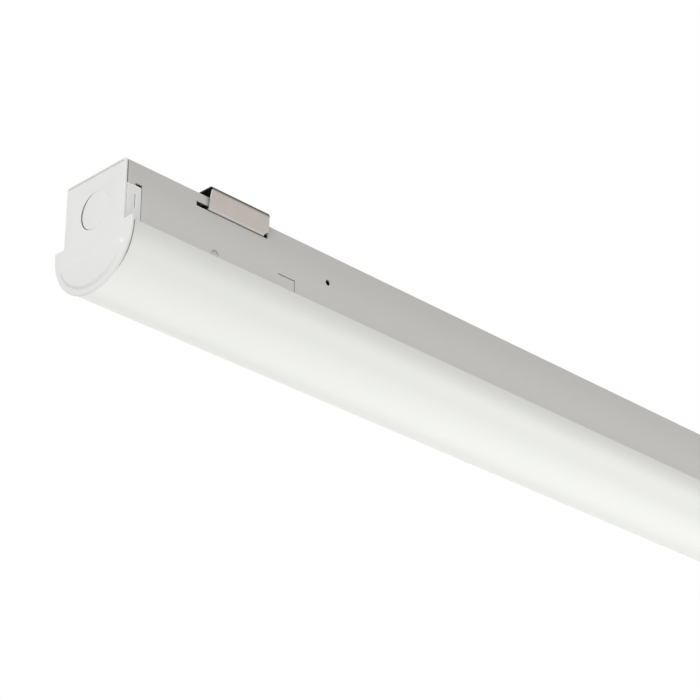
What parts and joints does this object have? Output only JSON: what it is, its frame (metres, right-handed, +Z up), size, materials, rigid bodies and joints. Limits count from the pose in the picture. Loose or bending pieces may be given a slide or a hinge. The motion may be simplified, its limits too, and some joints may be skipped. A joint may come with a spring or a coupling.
{
  "type": "strip light",
  "caption": "Long white ceiling strip light: folded steel channel on spring clips, half round frosted lens, and flat moulded end caps with a knockout.",
  "frame": {"origin": "in the ceiling plane, midway between the centre screw holes of the two clips", "axes": "+X along the light from the near cap to the far cap, +Z up to the ceiling, -Y towards the side that the picture shows"},
  "size_m": [1.2216, 0.06, 0.0741],
  "materials": {
    "white_steel": "baked white enamel, satin",
    "clip_steel": "bare spring steel",
    "plated_steel": "zinc plated",
    "cap_plastic": "moulded white, fine satin texture",
    "lens_plastic": "frosted extruded diffuser",
    "board": "white solder mask",
    "chip": "phosphor, unlit",
    "white_plastic": "moulded white nylon",
    "grommet_rubber": "matt black",
    "driver_board": "green circuit board with parts",
    "terminal_grey": "moulded light grey",
    "lead_red": "lead insulation",
    "lead_blue": "lead insulation",
    "lead_black": "lead insulation",
    "lead_white": "lead insulation",
    "lead_green": "lead insulation",
    "ring_copper": "tin plated copper",
    "connector_orange": "moulded orange"
  },
  "bodies": {
    "housing": {"channel": "white_steel", "strap_near": "plated_steel", "strap_middle": "plated_steel", "strap_far": "plated_steel", "back_knockouts": "white_steel"},
    "gear_tray": {"tray": "white_steel", "tray_screws": "plated_steel", "led_board_near": "board", "led_board_far": "board", "led_chips_near": "chip", "led_chips_far": "chip", "jumper_connector_near": "white_plastic", "jumper_connector_far": "white_plastic", "board_jumpers": "lead_white", "feed_connector": "white_plastic", "board_rivets": "white_plastic", "grommet": "grommet_rubber", "driver_base": "plated_steel", "driver_cover": "plated_steel", "driver_board": "driver_board", "driver_terminal_output": "terminal_grey", "driver_terminal_input": "terminal_grey", "driver_screws": "plated_steel", "feed_lead_positive": "lead_red", "feed_lead_negative": "lead_blue", "line_lead": "lead_black", "neutral_lead": "lead_white", "ground_lead": "lead_green", "ground_ring": "ring_copper", "ground_screw": "lead_green", "supply_plug": "connector_orange"},
    "diffuser": {"lens": "lens_plastic"},
    "near_cap": {"end_cap_near": "cap_plastic", "cap_knockout_near": "cap_plastic"},
    "far_cap": {"end_cap_far": "cap_plastic", "cap_knockout_far": "cap_plastic"},
    "near_clip": {"clip_near": "clip_steel"},
    "far_clip": {"clip_far": "clip_steel"},
    "wire_socket": {"supply_socket": "connector_orange"}
  },
  "joints": [
    {"name": "tray_drop", "type": "slide", "parent": "housing", "child": "gear_tray", "axis": [0, 0, -1], "range_m": [0, 0.1]},
    {"name": "lens_drop", "type": "slide", "parent": "gear_tray", "child": "diffuser", "axis": [0, 0, -1], "range_m": [0, 0.08]},
    {"name": "near_cap_pull", "type": "slide", "parent": "housing", "child": "near_cap", "axis": [-1, 0, 0], "range_m": [0, 0.02]},
    {"name": "far_cap_pull", "type": "slide", "parent": "housing", "child": "far_cap", "axis": [1, 0, 0], "range_m": [0, 0.02]},
    {"name": "near_clip_slide", "type": "slide", "parent": "housing", "child": "near_clip", "axis": [1, 0, 0], "range_m": [-0.007, 0.003]},
    {"name": "far_clip_slide", "type": "slide", "parent": "housing", "child": "far_clip", "axis": [-1, 0, 0], "range_m": [-0.007, 0.003]},
    {"name": "wire_socket_pull", "type": "slide", "parent": "gear_tray", "child": "wire_socket", "axis": [1, 0, 0], "range_m": [0, 0.012]}
  ]
}
